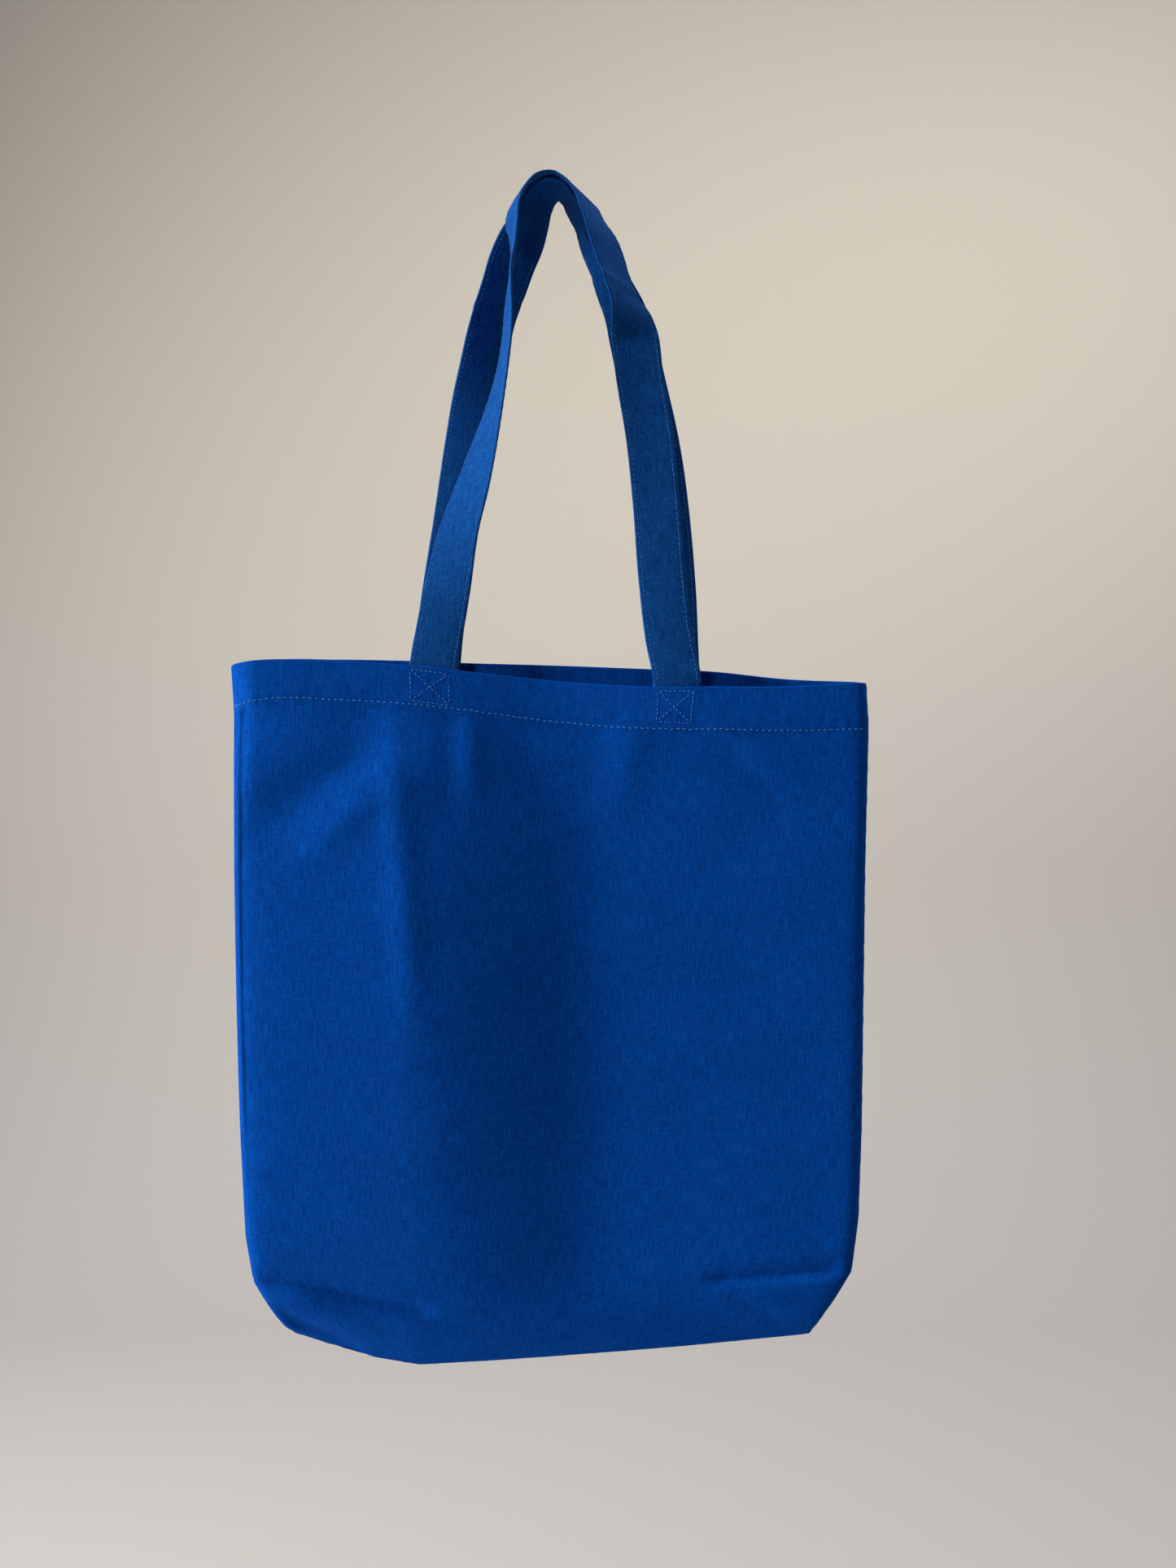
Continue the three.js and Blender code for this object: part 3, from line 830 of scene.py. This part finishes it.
def cotton(name, dark, middle, light, sheen=0.0, contrast=1.0):
    """Dyed plain-weave cotton: crossing yarns with thick and thin slubs, mottled dye, no gloss."""
    n = Nodes(name)
    weave = 0.0
    for across, along, share in WEAVE:
        slub = n.noise(n.cloth(across, along), detail=2.0)
        weave = n.maths("ADD", n.maths("MULTIPLY", slub, share), weave)
    mottle = n.noise(n.place(), 30.0, 4.0)
    tone = n.maths("ADD", n.maths("MULTIPLY", weave, 0.95), n.maths("MULTIPLY", mottle, 0.05))
    colour = n.ramp(tone, [(0.5 - 0.14 / contrast, dark), (0.5, middle), (0.5 + 0.15 / contrast, light)])
    n.join(colour, n.shader.inputs["Base Color"])
    n.shader.inputs["Roughness"].default_value = 0.9
    relief = n.bump(weave, 0.4, 0.0003)
    crumple = n.bump(n.noise(n.place(), 90.0, 2.0), 0.12, 0.001, relief)
    n.join(crumple, n.shader.inputs["Normal"])
    sheen_of(n, sheen, 0.4, SHEEN_TINT)
    return n.material


def thread_material(name, dark, light):
    n = Nodes(name)
    twist = n.add("ShaderNodeTexWave", wave_type="BANDS", bands_direction="DIAGONAL")
    twist.inputs["Scale"].default_value = 900.0
    twist.inputs["Distortion"].default_value = 1.5
    n.join(n.place(), twist.inputs["Vector"])
    strands = n.maths("MULTIPLY", twist.outputs["Fac"], 0.45)
    lint = n.maths("MULTIPLY", n.noise(n.place(), 240.0), 0.55)
    tone = n.maths("ADD", strands, lint)
    n.join(n.ramp(tone, [(0.25, dark), (0.75, light)]), n.shader.inputs["Base Color"])
    n.join(n.bump(twist.outputs["Fac"], 0.4, 0.0001), n.shader.inputs["Normal"])
    n.shader.inputs["Roughness"].default_value = 0.55
    sheen_of(n, 0.15, 0.4, light)
    return n.material


def backdrop_material():
    """Pale matt paint with painted light, which makes it a little warmer above than below."""
    n = Nodes("backdrop_paint_and_painted_light")
    split = n.add("ShaderNodeSeparateXYZ")
    n.join(n.place(), split.inputs[0])
    height = n.maths("ADD", n.maths("MULTIPLY", split.outputs["Z"], 0.33), 0.5, clamp=True)
    # Painted light: the ramp turns warmer going up, where the room's light falls, and cooler towards the
    # floor.
    paint_with_painted_light = n.ramp(height, [(0.0, (0.60, 0.575, 0.56)), (0.75, (0.63, 0.58, 0.50))])
    n.join(paint_with_painted_light, n.shader.inputs["Base Color"])
    n.join(n.bump(n.noise(n.place(), 90.0, 4.0), 0.15, 0.002), n.shader.inputs["Normal"])
    n.shader.inputs["Roughness"].default_value = 0.9
    return n.material


# ---------------------------------------------------------------- stage, light and camera

def sweep_backdrop(material):
    """A pale floor that curves up into a wall far behind the bag."""
    depth = 2.6
    floor = -1.5
    curve = 0.9
    profile = [(-6.0, floor), (depth - curve, floor)]
    for k in range(1, 13):
        a = math.pi / 2 * k / 12
        profile.append((depth - curve + curve * math.sin(a), floor + curve - curve * math.cos(a)))
    profile.append((depth, 4.5))
    half = 7.0
    vertices = []
    for y, z in profile:
        vertices += [(-half, y, z), (half, y, z)]
    faces = grid_faces(len(profile), 2)
    obj = new_object("backdrop", np.array(vertices) / MM, faces, None, material)


def area_light(name, place, aim, size, power, colour):
    data = bpy.data.lights.new(name, "AREA")
    data.shape = "RECTANGLE"
    data.size, data.size_y = size
    data.energy = power
    data.color = colour
    obj = bpy.data.objects.new(name, data)
    obj.location = place
    obj.visible_camera = False
    obj.rotation_euler = (Vector(aim) - Vector(place)).to_track_quat("-Z", "Y").to_euler()
    bpy.context.scene.collection.objects.link(obj)


def light_scene():
    area_light("window_light", (-2.2, -0.57, 0.3), (0, 0, -0.45), (0.8, 1.0), 90, (1.0, 0.99, 0.97))
    area_light("ceiling_light", (0.9, -0.3, 1.5), (0, 0, -0.3), (0.7, 0.5), 5, (1.0, 0.98, 0.95))
    area_light("floor_bounce", (-0.9, -0.6, -1.2), (0, 0, -0.62), (0.9, 0.4), 3.9, (1.0, 0.97, 0.93))
    area_light("wall_light", (1.2, 0.3, 1.7), (0.5, 2.5, -0.5), (3.5, 1.4), 60, (1.0, 0.99, 0.97))
    world = bpy.data.worlds.new("room")
    world.use_nodes = True
    background = world.node_tree.nodes["Background"]
    background.inputs["Color"].default_value = (0.77, 0.81, 0.90, 1)
    background.inputs["Strength"].default_value = 0.052
    bpy.context.scene.world = world
    bpy.context.scene.view_settings.view_transform = "Standard"


def add_camera():
    data = bpy.data.cameras.new("camera")
    data.sensor_fit = "VERTICAL"
    data.sensor_height = SENSOR_HEIGHT
    data.lens = SENSOR_HEIGHT * CAMERA_DISTANCE / VIEW_HEIGHT
    data.clip_start = 0.01
    camera = bpy.data.objects.new("camera", data)
    camera.location = (CAMERA_X, -CAMERA_DISTANCE, CAMERA_Z)
    camera.rotation_euler = (math.pi / 2, 0, 0)
    bpy.context.scene.collection.objects.link(camera)
    bpy.context.scene.camera = camera


# ---------------------------------------------------------------- build


def blend_panel(piece):
    """Bakes the piece's placement into its mesh."""
    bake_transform(piece)


def blend_strap(piece):
    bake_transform(piece)


def make_panels(canvas, thread):
    bodies = {}
    for side, name in ((FRONT, "front"), (BACK, "back")):
        panel = Panel(side)
        bodies[name] = panel
        cloth = panel_object(panel, f"{name}_cloth", canvas)
        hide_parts(f"{name}_panel")
        line = stitch_mesh(f"{name}_hem_stitches", hem_stitches(panel), thread)
        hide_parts(f"{name}_hem_thread")
        pieces = [cloth, line]
        for place in ("left", "right"):
            stitches = box_stitches(panel, BOXES[name, place])
            box = stitch_mesh(f"{name}_box_stitches_{place}", stitches, thread, BOX_THREAD)
            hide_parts(f"{name}_box_thread_{place}")
            pieces.append(box)
        for piece in pieces:
            if side == FRONT:
                blend_panel(piece)
            else:
                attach(piece, "bag")
    return bodies


def make_handles(canvas, thread):
    handles = [("front", FRONT, FRONT_LOOP, "front_side"), ("back", BACK, BACK_LOOP, "bag")]
    for name, side, stations, body in handles:
        band = Band(stations, side)
        strap = strap_object(band, f"{name}_strap", CREASES[name], canvas)
        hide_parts(f"{name}_handle", f"{name}_handle_left_end", f"{name}_handle_right_end")
        blend_strap(strap)
        for place, edge in (("left", -1), ("right", 1)):
            stitches = strap_stitches(band, edge, CREASES[name])
            line = stitch_mesh(f"{name}_strap_stitches_{place}", stitches, thread, EDGE_THREAD)
            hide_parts(f"{name}_handle_thread_{place}")
            blend_strap(line)


def bottom_points(panel, lift):
    """Points along the bottom edge of a panel, in the plane between the two panels."""
    line = np.concatenate([panel.points[-1, :-1:3], panel.points[-1, -1:]])
    return line * np.array([1, 0, 1]) + np.array([0, 0, lift])


def make_seams(panels, canvas):
    front = panels["front"]
    seams = {
        "left_side_seam": edge_points(front, 0, 0.0, SIDE_SEAM_END, inset=SEAM_INSET),
        "right_side_seam": edge_points(front, -1, 0.0, SIDE_SEAM_END, inset=-SEAM_INSET),
        "left_corner_seam": edge_points(front, 0, CORNER_SEAM_START, 1.0, inset=SEAM_INSET),
        "right_corner_seam": edge_points(front, -1, CORNER_SEAM_START, 1.0, inset=-SEAM_INSET),
        "bottom_seam": bottom_points(front, BOTTOM_SEAM_LIFT),
    }
    for name, centres in seams.items():
        radius = SIDE_SEAM_RADIUS if "side" in name else CORNER_SEAM_RADIUS
        piece = welt(f"{name}_welt", centres, radius, canvas)
        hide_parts(name)
        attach(piece, "bag")


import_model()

canvas = cotton("royal_canvas", *CANVAS_DYE)
# The strap cloth's greyer colours are painted sheen and glare.
strap_canvas_painted_sheen = cotton("strap_canvas_painted_sheen", *STRAP_DYE_WITH_PAINTED_SHEEN, sheen=0.06, contrast=1.6)
seam_canvas = cotton("seam_canvas", *SEAM_DYE)
hem_thread = thread_material("pale_thread", *HEM_THREAD_DYE)
strap_thread = thread_material("strap_thread", *STRAP_THREAD_DYE)

sweep_backdrop(backdrop_material())
light_scene()
add_camera()
panels = make_panels(canvas, hem_thread)
make_handles(strap_canvas_painted_sheen, strap_thread)
make_seams(panels, seam_canvas)

bpy.context.view_layer.update()
